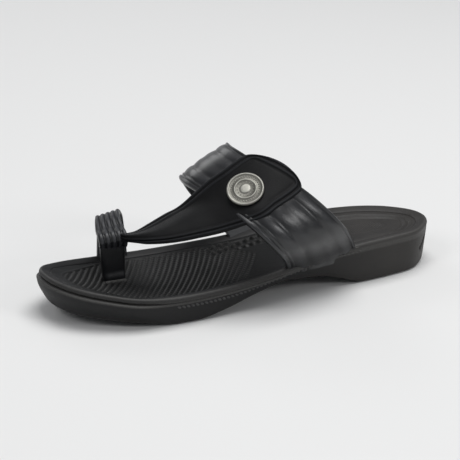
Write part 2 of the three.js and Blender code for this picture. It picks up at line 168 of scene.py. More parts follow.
# Sections across the straps. Band and loop: share of the width from the front edge, and rise in mm.
BAND_RIBS = [
    (0, -0.7), (0.006, -0.1), (0.018, 0.42), (0.035, 0.5), (0.052, 0.42), (0.066, -0.1), (0.08, -0.05),
    (0.092, 0.3), (0.104, 0.34), (0.116, 0.05), (0.135, 0.02), (0.17, 0.36), (0.22, 0.52), (0.27, 0.36),
    (0.305, -0.05), (0.33, -0.08), (0.38, 0.26), (0.45, 0.44), (0.52, 0.26), (0.555, 0.24), (0.61, 0.42),
    (0.68, 0.3), (0.735, -0.05), (0.76, -0.08), (0.79, 0.25), (0.84, 0.55), (0.89, 0.5), (0.93, 0.25),
    (0.945, 0.05), (0.957, 0.35), (0.972, 0.6), (0.988, 0.35), (0.996, -0.2), (1, -0.7),
]
LOOP_RIBS = [
    (0, -0.7), (0.02, 0.1), (0.06, 0.55), (0.1, 0.62), (0.14, 0.55), (0.18, 0.05), (0.2, 0), (0.22, 0.05),
    (0.26, 0.55), (0.305, 0.62), (0.35, 0.55), (0.39, 0.05), (0.41, 0), (0.43, 0.05), (0.47, 0.55),
    (0.515, 0.62), (0.56, 0.55), (0.6, 0.05), (0.62, 0), (0.64, 0.05), (0.68, 0.55), (0.725, 0.62),
    (0.77, 0.55), (0.8, 0.05), (0.82, 0), (0.84, 0.05), (0.88, 0.55), (0.92, 0.62), (0.95, 0.55),
    (0.98, 0.1), (1, -0.7),
]
# T-strap: distance in from its edge in mm, and rise of the two welts along it
STRAP_WELTS = [
    (0, -0.8), (0.2, -0.2), (0.7, 0.45), (1.3, 0.62), (1.9, 0.5), (2.5, 0), (2.9, -0.15), (3.3, 0.05),
    (3.9, 0.48), (4.5, 0.55), (5.1, 0.4), (5.8, 0), (6.6, -0.12), (8, 0),
]
WELT_REACH = 8
STRAP_CROWN = 0.45
# Nearer to its rear edge than this, the T-strap's normals are those of this place
NORMAL_FROM = 3
# How much of a corner outside the round bend is left
CORNER_LEFT = 0.08

# Half section of the button: radius and height above its back
BUTTON_SECTION = [
    (0, 0), (10.4, 0), (10.9, 0.25), (11, 0.7), (11, 1.2), (10.85, 1.6), (10.5, 1.85), (10.1, 1.9),
    (9.75, 1.75), (9.6, 1.45), (9.5, 1.4), (6.9, 1.4), (6.75, 1.5), (6.6, 1.75), (6.3, 1.85), (6, 1.75),
    (5.85, 1.5), (5.7, 1.4), (3.4, 1.42), (3.2, 1.6), (2.9, 1.8), (2.4, 1.88), (1.2, 1.9), (0, 1.9),
]

# Curves and surfaces

SLOPE_STEP = 0.01


def smooth(x):
    x = np.clip(x, 0, 1)
    return x * x * (3 - 2 * x)


def bump_at(x, centre, half_width):
    """1 at the centre, 0 beyond the half width, round in between."""
    return smooth(1 - np.abs(x - centre) / half_width)


def ripple(x, pitch):
    """1 at each whole number of pitches, 0 halfway between."""
    return 0.5 + 0.5 * np.cos(x * TURN / pitch)


def curve(places, values):
    """A smooth curve through the rows' values: the slope at a row is that of its two neighbours."""
    places = np.asarray(places, float)
    values = np.asarray(values, float)
    last = len(places) - 1
    low = np.maximum(np.arange(last + 1) - 1, 0)
    high = np.minimum(np.arange(last + 1) + 1, last)
    extra = (1,) * (values.ndim - 1)
    slopes = (values[high] - values[low]) / (places[high] - places[low]).reshape(-1, *extra)

    def at(x):
        x = np.asarray(x, float)
        i = np.clip(np.searchsorted(places, x) - 1, 0, last - 1)
        run = (places[i + 1] - places[i]).reshape(x.shape + extra)
        t = ((x - places[i]).reshape(x.shape + extra)) / run
        rise = values[i + 1] - values[i]
        a = slopes[i] * run - rise
        b = rise - slopes[i + 1] * run
        return values[i] + t * rise + t * (1 - t) * ((1 - t) * a + t * b)

    return at


def eased(rows, x):
    """The rows' value at x, with a level spot at each row."""
    at = np.array([row[0] for row in rows], float)
    value = np.array([row[1] for row in rows], float)
    x = np.clip(x, at[0], at[-1])
    i = np.clip(np.searchsorted(at, x) - 1, 0, len(at) - 2)
    t = smooth((x - at[i]) / (at[i + 1] - at[i]))
    return value[i] + (value[i + 1] - value[i]) * t


def unit(v):
    return v / np.linalg.norm(v, axis=-1, keepdims=True)


def edge_surface(rows, bow=0):
    """The outer face between a front and a rear edge, bowed by some height between them."""
    front = curve(range(len(rows)), rows[:, 0])
    rear = curve(range(len(rows)), rows[:, 1])

    def ruled(along, across):
        return front(along) + (rear(along) - front(along)) * across[..., None]

    def face(along, across):
        along, across = np.broadcast_arrays(np.asarray(along, float), np.asarray(across, float))
        width = rear(along) - front(along)
        run = ruled(along + SLOPE_STEP, across) - ruled(along - SLOPE_STEP, across)
        normal = unit(np.cross(width, run))
        lift = 4 * bow * across * (1 - across)
        return ruled(along, across) + normal * lift[..., None], normal

    return face


band_face = edge_surface(BAND, BAND_BOW)


def strap_rows(across):
    """The T-strap's rows of points, for a list of places across it."""
    across = np.asarray(across, float)
    rows = []
    for _, back, bow, lateral, medial, lift_lateral, lift_medial in STRAP_ON_BAND:
        bowed = back + 4 * bow * across * (1 - across)
        point, normal = band_face(lateral + (medial - lateral) * across, bowed)
        lift = lift_lateral + (lift_medial - lift_lateral) * across ** 2
        rows.append(point + normal * lift[..., None])
    for arc in STRAP_FREE:
        rows.append(curve([0, 0.5, 1], arc)(across))
    places = list(STRAP_ON_BAND[:, 0]) + STRAP_FREE_AT
    return places, np.array(rows)


def strap_face(along, across):
    """Points and outward normals of the T-strap, for two grids: places along it and shares across it."""
    point = np.empty(across.shape + (3,))
    normal = np.empty(across.shape + (3,))
    own = np.arange(across.shape[1])
    for i, place in enumerate(along):
        line = curve(*strap_rows(across[i]))
        near = curve(*strap_rows(np.maximum(across[i] - SLOPE_STEP, 0)))
        far = curve(*strap_rows(np.minimum(across[i] + SLOPE_STEP, 1)))
        point[i] = line(place)[own, own]
        inner = np.maximum(place, NORMAL_FROM)
        run = (line(inner + SLOPE_STEP) - line(inner - SLOPE_STEP))[own, own]
        side = (far(inner) - near(inner))[own, own]
        normal[i] = -unit(np.cross(run, side))
    return point, normal


# The outline of the sole


def angle_of(s):
    """The angle of a half circle over the length, which makes both ends of the sole round."""
    return np.arccos(1 - 2 * s / LENGTH)


sole_at = curve(angle_of(SOLE[:, 0]), SOLE)
underside_at = curve(*zip(*UNDERSIDE))


def underside(s):
    return np.maximum(0, underside_at(s))


OUTLINE_SAMPLES = 4001


class Outline:
    """Places on the outline: up the lateral side to the toe tip and back down the medial side."""

    def __init__(self, per_side):
        fine = np.linspace(0, math.pi, OUTLINE_SAMPLES)
        across = sole_at(fine)
        x = LENGTH / 2 - LENGTH * (1 - np.cos(fine)) / 2
        steps = [np.hypot(np.diff(x), np.diff(across[:, column])) for column in (LATERAL, MEDIAL)]
        run = np.concatenate([[0], np.cumsum(steps[0] + steps[1])])
        angles = np.interp(np.linspace(0, run[-1], per_side + 1), run, fine)
        angles[-1] = math.pi
        self.per_side = per_side
        self.angle = np.concatenate([angles, angles[-2:0:-1]])
        self.count = len(self.angle)
        self.lateral = np.arange(self.count) <= per_side
        self.s = LENGTH * (1 - np.cos(self.angle)) / 2
        self.spine = np.clip(self.s, HEEL_SPINE_END, TOE_SPINE_END)
        row = sole_at(self.angle)
        spine_row = sole_at(angle_of(self.spine))
        edge_y = np.where(self.lateral, row[:, LATERAL], row[:, MEDIAL])
        self.rim = np.where(self.lateral, row[:, RIM_LATERAL], row[:, RIM_MEDIAL])
        self.bed = spine_row[:, BED]
        self.edge = np.stack([LENGTH / 2 - self.s, edge_y], axis=1)
        centre_y = (spine_row[:, LATERAL] + spine_row[:, MEDIAL]) / 2
        self.centre = np.stack([LENGTH / 2 - self.spine, centre_y], axis=1)
        self.width = np.linalg.norm(self.edge - self.centre, axis=1)
        self.toe = smooth((self.s - BUMPER_START) / BUMPER_FADE)

    def loop(self, share, height):
        share = np.broadcast_to(share, self.width.shape)
        flat = self.centre + (self.edge - self.centre) * share[:, None]
        return np.column_stack([flat, np.broadcast_to(height, share.shape)])

    def inset(self, distance, height):
        return self.loop(1 - distance / self.width, height)

    def under(self, share):
        return underside(self.spine + (self.s - self.spine) * share)

    def bed_height(self, share):
        across = np.minimum(share / (1 - BED_INSET / self.width), 1)
        return self.bed + (self.rim - BED_DROP - self.bed) * across ** 2

    def faces(self, rings):
        """Quads between the loops, and strips across the foot that close the first and the last."""
        ring = np.arange(rings - 1)[:, None] * self.count
        i = np.arange(self.count)[None, :]
        after = (i + 1) % self.count
        above = ring + self.count
        quads = np.stack([ring + i, above + i, above + after, ring + after], axis=-1)
        top = (rings - 1) * self.count
        lids = []
        for k in range(self.per_side):
            corners = [k, k + 1, (self.count - k - 1) % self.count, (self.count - k) % self.count]
            corners = [c for j, c in enumerate(corners) if c not in corners[:j]]
            lids.append(tuple(corners))
            lids.append(tuple(top + c for c in reversed(corners)))
        return [tuple(q) for q in quads.reshape(-1, 4)] + lids


# Meshes

# The tables' origin isn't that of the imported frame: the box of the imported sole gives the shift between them
SHIFT_STATIONS = 40
shift_outline = Outline(SHIFT_STATIONS)
sole_low, sole_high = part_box("sole")
outline_middle = (shift_outline.edge[:, 1].min() + shift_outline.edge[:, 1].max()) / 2
sole_middle = (sole_low.y + sole_high.y) / 2 / MM
SHIFT = np.array([sole_high.x / MM - LENGTH / 2, sole_middle - outline_middle, 0])


def add_mesh(name, points, faces, materials, nodes, sharp, wear_and_highlight, face_material=None):
    """A closed piece from points in mm of the source's frame. Edges of more than sharp degrees stay sharp.

    A value a point tells its material how pale it is: rubbed, and a painted highlight on the sole's rim, the
    post's lip and some crests and welts.
    """
    points = (np.asarray(points, float).reshape(-1, 3) + SHIFT) * MM
    mesh = bpy.data.meshes.new(name)
    totals = np.array([len(face) for face in faces], dtype=np.int32)
    loops = np.fromiter((v for face in faces for v in face), dtype=np.int32, count=int(totals.sum()))
    starts = np.concatenate([[0], np.cumsum(totals)[:-1]]).astype(np.int32)
    mesh.vertices.add(len(points))
    mesh.vertices.foreach_set("co", points.ravel())
    mesh.loops.add(len(loops))
    mesh.loops.foreach_set("vertex_index", loops)
    mesh.polygons.add(len(faces))
    mesh.polygons.foreach_set("loop_start", starts)
    mesh.polygons.foreach_set("use_smooth", np.ones(len(faces), dtype=bool))
    if face_material is not None:
        mesh.polygons.foreach_set("material_index", np.asarray(face_material, dtype=np.int32))
    layer = mesh.attributes.new("wear_and_highlight", "FLOAT", "POINT")
    layer.data.foreach_set("value", np.asarray(wear_and_highlight, dtype=np.float32).ravel())
    mesh.update(calc_edges=True)
    mesh.validate()
    face_out(mesh)
    mesh.set_sharp_from_angle(angle=math.radians(sharp))
    for item in materials:
        mesh.materials.append(item)
    obj = bpy.data.objects.new(name, mesh)
    bpy.context.scene.collection.objects.link(obj)
    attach(obj, "root")
    if nodes:
        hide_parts(*nodes)


def face_out(mesh):
    """Turns all faces over if the mesh is inside out."""
    mesh.calc_loop_triangles()
    count = len(mesh.loop_triangles)
    corners = np.empty(count * 3, dtype=np.int32)
    mesh.loop_triangles.foreach_get("vertices", corners)
    points = np.empty(len(mesh.vertices) * 3)
    mesh.vertices.foreach_get("co", points)
    a, b, c = points.reshape(-1, 3)[corners.reshape(-1, 3)].transpose(1, 0, 2)
    if np.einsum("ij,ij->i", a, np.cross(b, c)).sum() < 0:
        mesh.flip_normals()


def wall(outer, inner):
    """A closed wall between two grids of points: points, faces, and 1 for each face of the inner grid."""
    rows, columns = outer.shape[:2]
    size = rows * columns
    faces = []
    kinds = []
    for i in range(rows - 1):
        for k in range(columns - 1):
            a = i * columns + k
            faces.append((a, a + 1, a + columns + 1, a + columns))
            kinds.append(0)
            faces.append((size + a, size + a + columns, size + a + columns + 1, size + a + 1))
            kinds.append(1)
        first = i * columns
        last = first + columns - 1
        faces.append((first, first + columns, size + first + columns, size + first))
        faces.append((last, size + last, size + last + columns, last + columns))
        kinds += [0, 0]
    for k in range(columns - 1):
        end = size - columns + k
        faces.append((k, size + k, size + k + 1, k + 1))
        faces.append((end, end + 1, size + end + 1, size + end))
        kinds += [0, 0]
    return np.concatenate([outer.reshape(-1, 3), inner.reshape(-1, 3)]), faces, kinds


def raised(point, normal, height):
    return point + normal * height[..., None]


def spread(rows, fineness):
    """Places between the rows, a few to each gap."""
    at = [row[0] for row in rows]
    parts = [np.linspace(a, b, fineness, endpoint=False) for a, b in zip(at, at[1:])]
    return np.concatenate(parts + [[at[-1]]])


def edge_bevel(share, reach=0.02, depth=0.5):
    """How much thinner a wall's inner face is near both of its edges."""
    return depth * (1 - smooth(np.minimum(share, 1 - share) / reach))


# Materials


def linear(*srgb):
    """A colour of the shader from 0 to 255 sRGB values."""
    values = [v / 255 for v in srgb]
    return tuple(v / 12.92 if v <= 0.04045 else ((v + 0.055) / 1.055) ** 2.4 for v in values) + (1,)


class Material:
    """A Principled shader with a few helpers for the nodes in front of it."""

    def __init__(self, name, **sockets):
        self.data = bpy.data.materials.new(name)
        self.data.use_nodes = True
        self.tree = self.data.node_tree
        self.shader = next(n for n in self.tree.nodes if n.type == "BSDF_PRINCIPLED")
        for socket, value in sockets.items():
            self.shader.inputs[socket.replace("_", " ")].default_value = value
        self.place = self.node("ShaderNodeTexCoord").outputs["Object"]

    def node(self, kind, inputs=(), **settings):
        node = self.tree.nodes.new(kind)
        for key, value in settings.items():
            setattr(node, key, value)
        for key, value in dict(inputs).items():
            if isinstance(value, bpy.types.NodeSocket):
                self.tree.links.new(value, node.inputs[key])
            else:
                node.inputs[key].default_value = value
        return node

    def noise(self, size_mm, detail=4, roughness=0.55, stretch=None):
        place = self.place
        if stretch:
            place = self.node("ShaderNodeMapping", {"Vector": place, "Scale": stretch}).outputs["Vector"]
        inputs = {"Vector": place, "Scale": 1 / (size_mm * MM), "Detail": detail, "Roughness": roughness}
        return self.node("ShaderNodeTexNoise", inputs).outputs["Fac"]

    def cells(self, size_mm):
        inputs = {"Vector": self.place, "Scale": 1 / (size_mm * MM)}
        return self.node("ShaderNodeTexVoronoi", inputs, feature="DISTANCE_TO_EDGE").outputs["Distance"]

    def ranged(self, value, low, high, to_low=0, to_high=1):
        inputs = {0: value, 1: low, 2: high, 3: to_low, 4: to_high}
        return self.node("ShaderNodeMapRange", inputs).outputs[0]

    def math(self, operation, a, b):
        return self.node("ShaderNodeMath", {0: a, 1: b}, operation=operation).outputs[0]

    def mix(self, factor, a, b):
        node = self.node("ShaderNodeMix", {0: factor, 6: a, 7: b}, data_type="RGBA")
        return node.outputs[2]

    def attribute(self, name):
        return self.node("ShaderNodeAttribute", attribute_name=name).outputs["Fac"]

    def axis(self, name):
        return self.node("ShaderNodeSeparateXYZ", {0: self.place}).outputs[name]

    def bump(self, height, distance_mm, strength=1.0):
        inputs = {"Height": height, "Distance": distance_mm * MM, "Strength": strength}
        previous = self.shader.inputs["Normal"].links
        if previous:
            inputs["Normal"] = previous[0].from_socket
        node = self.node("ShaderNodeBump", inputs)
        self.tree.links.new(node.outputs["Normal"], self.shader.inputs["Normal"])

    def set(self, socket, value):
        self.tree.links.new(value, self.shader.inputs[socket])


# Pale foam: rubbed spots, and a painted highlight on the rim's top, the post's lip and the crests of ribs and
# nubs
WORN_AND_HIGHLIT_FOAM = linear(82, 81, 79)
# The foam turns to the heel's colour between these two places along X, in metres
HEEL_TINT = (0.02, 0.085)


def moulded_foam(name, dark, light, heel, roughness):
    """The sole and the footbed: matt moulded foam, browner and paler towards the heel, rubbed paler on its
    edges.
    Its pale spots also paint the highlight on the rim's top, the post's lip and the crests of ribs and nubs.
    """
    m = Material(name, Specular_IOR_Level=0.3, Coat_Weight=0.03, Coat_Roughness=0.4)
    mottle = m.ranged(m.noise(size_mm=17, detail=5), 0.3, 0.7)
    speck = m.ranged(m.noise(size_mm=0.9, detail=3, roughness=0.7), 0.35, 0.65)
    # paler where rubbed, and where a highlight is painted
    worn_and_highlit = m.ranged(m.attribute("wear_and_highlight"), 0, 1, to_high=0.85)
    towards_heel = m.ranged(m.axis("X"), *HEEL_TINT)
    base = m.mix(m.math("MULTIPLY", mottle, speck), dark, light)
    base = m.mix(m.math("MULTIPLY", towards_heel, m.ranged(mottle, 0, 1, to_low=0.75)), base, heel)
    base = m.mix(m.math("MULTIPLY", worn_and_highlit, m.ranged(speck, 0, 1, to_low=0.6)), base, WORN_AND_HIGHLIT_FOAM)
    m.set("Base Color", base)
    m.set("Roughness", m.ranged(m.math("ADD", mottle, speck), 0, 2, *roughness))
    m.bump(m.noise(size_mm=0.45, detail=4, roughness=0.65), distance_mm=0.12, strength=0.55)
    m.bump(m.noise(size_mm=4.5, detail=3), distance_mm=0.5, strength=0.25)
    return m.data


def leather(name, dark, light, edge, roughness, grain, **sockets):
    """The straps: a fine-grained coated leather with small creases and edges rubbed paler.
    The paler crests also paint the highlight on the loop's ribs and the T-strap's welts.
    """
    m = Material(name, **sockets)
    mottle = m.ranged(m.noise(size_mm=14, detail=5), 0.3, 0.7)
    fine = m.ranged(m.noise(size_mm=0.8, detail=3, roughness=0.7), 0.3, 0.7)
    # paler crests: rubbed, and on the loop's ribs and the T-strap's welts a painted highlight
    worn_and_highlit = m.ranged(m.attribute("wear_and_highlight"), 0, 1, to_high=0.7)
    base = m.mix(m.math("MULTIPLY", mottle, m.ranged(fine, 0, 1, to_low=0.5)), dark, light)
    base = m.mix(m.math("MULTIPLY", worn_and_highlit, m.ranged(fine, 0, 1, to_low=0.5)), base, edge)
    m.set("Base Color", base)
    m.set("Roughness", m.ranged(m.math("ADD", mottle, fine), 0, 2, *roughness))
    m.bump(m.ranged(m.cells(size_mm=0.75), 0, 0.28), distance_mm=0.07, strength=grain)
    m.bump(m.noise(size_mm=0.35, detail=3, roughness=0.7), distance_mm=0.05, strength=grain)
    creases = m.noise(size_mm=7, detail=3, roughness=0.5, stretch=(1, 0.45, 1))
    m.bump(creases, distance_mm=0.55, strength=0.3)
    return m.data


sole_foam = moulded_foam(
    "sole_foam", dark=linear(14, 14, 15), light=linear(27, 27, 28), heel=linear(48, 46, 44),
    roughness=(0.46, 0.62),
)
bed_foam = moulded_foam(
    "bed_foam", dark=linear(8, 9, 9), light=linear(18, 19, 19), heel=linear(50, 48, 46),
    roughness=(0.46, 0.64),
)
stitch_foam = moulded_foam(
    "stitch_foam", dark=linear(50, 50, 51), light=linear(78, 78, 79), heel=linear(88, 86, 83),
    roughness=(0.5, 0.66),
)
band_leather = leather(
    "band_leather", dark=linear(11, 12, 14), light=linear(24, 25, 28), edge=linear(46, 47, 50),
    roughness=(0.26, 0.4), grain=0.4, Specular_IOR_Level=0.5, Coat_Weight=0.3, Coat_Roughness=0.22,
)
# The T-strap's welts get the paler colour as painted highlight lines, on top of rubbing
strap_leather = leather(
    "strap_leather", dark=linear(3, 3, 4), light=linear(7, 8, 10), edge=linear(44, 46, 50),
    roughness=(0.46, 0.58), grain=0.6, Specular_IOR_Level=0.15, Sheen_Weight=0.02, Sheen_Roughness=0.4,
)
# The pale crest colour paints the highlight along the tops of the loop's ribs, on top of rubbing
loop_leather = leather(
    "loop_leather", dark=linear(11, 12, 14), light=linear(21, 22, 25), edge=linear(62, 63, 66),
    roughness=(0.34, 0.46), grain=0.4, Specular_IOR_Level=0.35, Coat_Weight=0.12, Coat_Roughness=0.3,
)
lining = leather(
    "lining_leather", dark=linear(34, 35, 38), light=linear(48, 49, 52), edge=linear(60, 61, 64),
    roughness=(0.42, 0.58), grain=0.6, Specular_IOR_Level=0.5, Coat_Weight=0.15, Coat_Roughness=0.4,
)


PEWTER_HOLLOW = linear(106, 105, 99)
PEWTER_RAISED = linear(150, 149, 142)
PEWTER_MOTTLE = linear(114, 112, 106)


def pewter():
    """The button: satin cast metal, darker in its hollows."""
    m = Material("pewter", Metallic=0.85, Specular_IOR_Level=0.5)
    mottle = m.ranged(m.noise(size_mm=2.2, detail=5, roughness=0.65), 0.3, 0.7)
    bright = m.ranged(m.attribute("wear_and_highlight"), 0, 1)
    base = m.mix(bright, PEWTER_HOLLOW, PEWTER_RAISED)
    base = m.mix(m.math("MULTIPLY", mottle, 0.3), base, PEWTER_MOTTLE)
    m.set("Base Color", base)
    m.set("Roughness", m.ranged(mottle, 0, 1, to_low=0.34, to_high=0.5))
    m.bump(m.noise(size_mm=0.5, detail=4, roughness=0.7), distance_mm=0.06, strength=0.5)
    return m.data


# Sole

SOLE_STATIONS = 330
GROUND_LOOPS = 29
GROUND_MIDDLE = 0.12
SIDE_LOOPS = 32
RECESS_PARTS = (1, 0.8, 0.5, 0.15)
SOLE_SHARP = 60

# How worn the ground face is, and the foot of the side wall: how much, at which row and how far from it. For
# the rim, paler from rubbing and a painted highlight along its top: how much, and how far from the outline's
# edge, with a share of the depth added.
GROUND_WEAR = 0.15
FOOT_WEAR = (0.25, 2.4, 0.8)
RIM_WEAR_AND_HIGHLIGHT = 0.75
RIM_WEAR_AND_HIGHLIGHT_AT = 1.1
RIM_WEAR_AND_HIGHLIGHT_REACH = 1.5
RIM_WEAR_AND_HIGHLIGHT_DEPTH = 0.2

# Tread: depth, distance between its grooves, height and length of their waves, plain edge round it, and the
# places that it ends at under the heel and starts at under the forefoot
TREAD_DEPTH = 1.3
TREAD_PITCH = 8.5
TREAD_WAVE = 2.2
TREAD_WAVE_LENGTH = 19
TREAD_EDGE = 10.5
TREAD_EDGE_SLOPE = 1.2
TREAD_FADE = 4
HEEL_TREAD = 56
FOREFOOT_TREAD = 162

# Small slanting cut in the back of the heel: y of its middle at some height and how fast it slants, half
# width, the heights of both ends and how soft they are, and how far the wall is moved in and aside
HEEL_CUT_Y = -16
HEEL_CUT_HEIGHT = 18
HEEL_CUT_SLANT = 0.8
HEEL_CUT_HALF = 1.7
HEEL_CUT_BOTTOM = 10.5
HEEL_CUT_TOP = 19.5
HEEL_CUT_SOFT = 1.2
HEEL_CUT_IN = 2
HEEL_CUT_ASIDE = 1.3
HEEL_CUT_BEHIND = 100


def tread(points, inset, outline):
    """Depth of the wavy grooves across the ground face, under the heel and the forefoot only."""
    s = LENGTH / 2 - points[:, 0]
    wave = s + TREAD_WAVE * np.sin(points[:, 1] * TURN / TREAD_WAVE_LENGTH)
    groove = smooth((np.cos(wave * TURN / TREAD_PITCH) - 0.35) / 0.4)
    under_heel = smooth((HEEL_TREAD - s) / TREAD_FADE)
    under_forefoot = smooth((s - FOREFOOT_TREAD) / TREAD_FADE)
    margin = smooth((inset - TREAD_EDGE) / TREAD_EDGE_SLOPE)
    off_centre = smooth(np.abs(points[:, 1] - outline.centre[:, 1]))
    return TREAD_DEPTH * groove * np.maximum(under_heel, under_forefoot) * margin * off_centre


def side_curve(outline):
    """The side wall from the ground up to the rim, through the rows of the foot, the side and the rim."""
    controls = []
    for distance, above, toe in SOLE_FOOT:
        inset = distance + toe * outline.toe
        controls.append(outline.inset(inset, outline.under(1 - inset / outline.width) + above))
    distance, toe = SIDE
    halfway = (underside(outline.s) + outline.rim) / 2
    controls.append(outline.inset(distance + toe * outline.toe, halfway))
    distance, below, toe, _ = SOLE_RIM[0]
    controls.append(outline.inset(distance + toe * outline.toe, outline.rim - below))
    return curve(range(len(controls)), np.array(controls)), len(controls) - 1


def sole_loops(outline):
    """Loops of the visible sole, from the middle of the ground face up over the rim into the recess."""
    loops = []
    wear_and_highlight = []

    def add(loop, worn_and_highlit):
        loops.append(loop)
        wear_and_highlight.append(np.full(outline.count, worn_and_highlit))

    ground_edge = 1 - SOLE_FOOT[0][0] / outline.width
    for part in np.linspace(GROUND_MIDDLE, 1, GROUND_LOOPS + 1)[:-1]:
        share = part * ground_edge
        loop = outline.loop(share, outline.under(share))
        loop[:, 2] += tread(loop, outline.width * (1 - share), outline)
        add(loop, GROUND_WEAR)
    side, last = side_curve(outline)
    foot_wear, *foot_place = FOOT_WEAR
    for place in np.linspace(0, last, SIDE_LOOPS + 1)[:-1]:
        loop = side(np.array(place))
        loop[:, 2] = np.maximum(loop[:, 2], 0)
        add(loop, foot_wear * bump_at(place, *foot_place))
    along_groove = smooth((outline.s - FINE_GROOVE_START) / FINE_GROOVE_FADE)
    fine = FINE_GROOVE_DEPTH * along_groove * (1 - outline.toe) * outline.lateral
    for distance, below, toe, groove in SOLE_RIM:
        inset = distance + toe * outline.toe + groove * fine
        # The rim's pale band: rubbing, and a painted highlight along its top
        worn_and_highlit = RIM_WEAR_AND_HIGHLIGHT * bump_at(distance + below * RIM_WEAR_AND_HIGHLIGHT_DEPTH, RIM_WEAR_AND_HIGHLIGHT_AT, RIM_WEAR_AND_HIGHLIGHT_REACH)
        add(outline.inset(inset, outline.rim - below), worn_and_highlit)
    recess = 1 - (BED_INSET - FIT_GAP) / outline.width
    for part in RECESS_PARTS:
        floor_height = outline.bed_height(recess * part) - BED_THICKNESS - FIT_GAP
        add(outline.loop(recess * part, floor_height), 0.0)
    return loops, np.array(wear_and_highlight)


def cut_heel(loop):
    """Moves the points of the small cut in the back of the heel."""
    middle = HEEL_CUT_Y - (HEEL_CUT_HEIGHT - loop[:, 2]) * HEEL_CUT_SLANT
    cut = bump_at(loop[:, 1], middle, HEEL_CUT_HALF) * (loop[:, 0] > HEEL_CUT_BEHIND)
    cut = cut * smooth((loop[:, 2] - HEEL_CUT_BOTTOM) / HEEL_CUT_SOFT)
    cut = cut * smooth((HEEL_CUT_TOP - loop[:, 2]) / HEEL_CUT_SOFT)
    loop[:, 0] -= HEEL_CUT_IN * cut
    loop[:, 1] += HEEL_CUT_ASIDE * cut


def make_sole():
    outline = Outline(SOLE_STATIONS)
    loops, wear_and_highlight = sole_loops(outline)
    for loop in loops:
        cut_heel(loop)
    points = np.concatenate(loops)
    faces = outline.faces(len(loops))
    add_mesh("sole_body", points, faces, [sole_foam], ["sole"], SOLE_SHARP, wear_and_highlight)
    return outline, loops


outline, loops = make_sole()

# Moulded stitches: their side, pitch, half sizes and slant, and rows of distance from the heel back and depth
# below the rim
STITCHES = [
    ("lateral", 2.8, (1.3, 0.75, 0.7), 0.5, [(113, 4.6), (153, 6.4), (188, 6.2)]),
    ("lateral", 2.7, (1.15, 0.5, 0.4), 0.5, [(60, 4), (85, 4.4), (113, 5)]),
    ("lateral", 4.2, (1.6, 0.32, 0.4), 0, [(62, 1.3), (112, 1.3)]),
    (
        "medial", 2.7, (1.15, 0.55, 0.42), 0.5,
        [(60, 4.6), (86, 5), (134, 5.8), (178, 5.4), (208, 6), (218, 6.4)],
    ),
]
STITCH_WEAR = 0.3
STITCH_STEP = 1
LUMP_SIDES = 10
LUMP_RINGS = 5
SMOOTH_ALL = 180


def lump(centre, along, up, out, half):
    """Points and faces of a small rounded grain."""
    points = [centre - along * half[0]]
    for ring in range(1, LUMP_RINGS):
        angle = math.pi * ring / LUMP_RINGS
        ring_centre = centre - along * (half[0] * math.cos(angle))
        ring_up = up * (half[1] * math.sin(angle))
        ring_out = out * (half[2] * math.sin(angle))
        for k in range(LUMP_SIDES):
            turn = TURN * k / LUMP_SIDES
            points.append(ring_centre + ring_up * math.cos(turn) + ring_out * math.sin(turn))
    points.append(centre + along * half[0])
    faces = [(0, 1 + (k + 1) % LUMP_SIDES, 1 + k) for k in range(LUMP_SIDES)]
    for ring in range(LUMP_RINGS - 2):
        for k in range(LUMP_SIDES):
            a = 1 + ring * LUMP_SIDES + k
            b = 1 + ring * LUMP_SIDES + (k + 1) % LUMP_SIDES
            faces.append((a, b, b + LUMP_SIDES, a + LUMP_SIDES))
    last = 1 + (LUMP_RINGS - 2) * LUMP_SIDES
    tip = len(points) - 1
    faces += [(last + k, last + (k + 1) % LUMP_SIDES, tip) for k in range(LUMP_SIDES)]
    return points, faces


def stitch_line(side, rows):
    """The line on the side wall that a row of stitches follows, from the heel forward."""
    wall_loops = np.array(loops)[GROUND_LOOPS:-len(RECESS_PARTS)]
    on_side = np.flatnonzero(outline.lateral if side == "lateral" else ~outline.lateral)
    on_side = on_side[np.argsort(outline.s[on_side])]
    at, depth = zip(*rows)
    line = []
    for i in on_side:
        s = outline.s[i]
        if rows[0][0] <= s <= rows[-1][0]:
            height = outline.rim[i] - np.interp(s, at, depth)
            column = wall_loops[:, i]
            top = np.argmax(column[:, 2])
            line.append([np.interp(height, column[:top, 2], column[:top, k]) for k in range(3)])
    return np.array(line)


def make_stitches():
    points, faces = [], []
    for side, pitch, half, slant, rows in STITCHES:
        line = stitch_line(side, rows)
        run = np.concatenate([[0], np.cumsum(np.linalg.norm(np.diff(line, axis=0), axis=1))])

        def on_line(place):
            return np.array([np.interp(place, run, line[:, k]) for k in range(3)])

        for place in np.arange(pitch / 2, run[-1] - STITCH_STEP, pitch):
            spot = on_line(place)
            along = unit(on_line(place + STITCH_STEP) - spot)
            out = unit(np.cross(along, [0, 0, 1]))
            out = out if (out[1] > 0) == (side == "medial") else -out
            up = unit(np.cross(out, along))
            up = up if up[2] > 0 else -up
            tilted = along * math.cos(slant) + up * math.sin(slant)
            upright = up * math.cos(slant) - along * math.sin(slant)
            more, sides = lump(spot, tilted, upright, out, half)
            faces += [tuple(v + len(points) for v in face) for face in sides]
            points += more
    wear_and_highlight = np.full(len(points), STITCH_WEAR)
    add_mesh("edge_stitches", points, faces, [stitch_foam], [], SMOOTH_ALL, wear_and_highlight)


make_stitches()

# Footbed

BED_STATIONS = 580
BED_RINGS = 68
BED_EDGE = 7.36
BED_UNDER_PARTS = (0.15, 0.5, 0.8, 1)
# The footbed's edge: distance further in and height against the top of the footbed's edge
BED_EDGE_ROWS = [(0, -0.5), (0, 0.1), (0.15, 0.18)]
BED_SHARP = 60
# How pale the crests of the ribs and nubs and the post's lip get: rubbing, and a painted highlight
BED_WEAR_AND_HIGHLIGHT = 0.36
BED_MIDDLE = 0.02

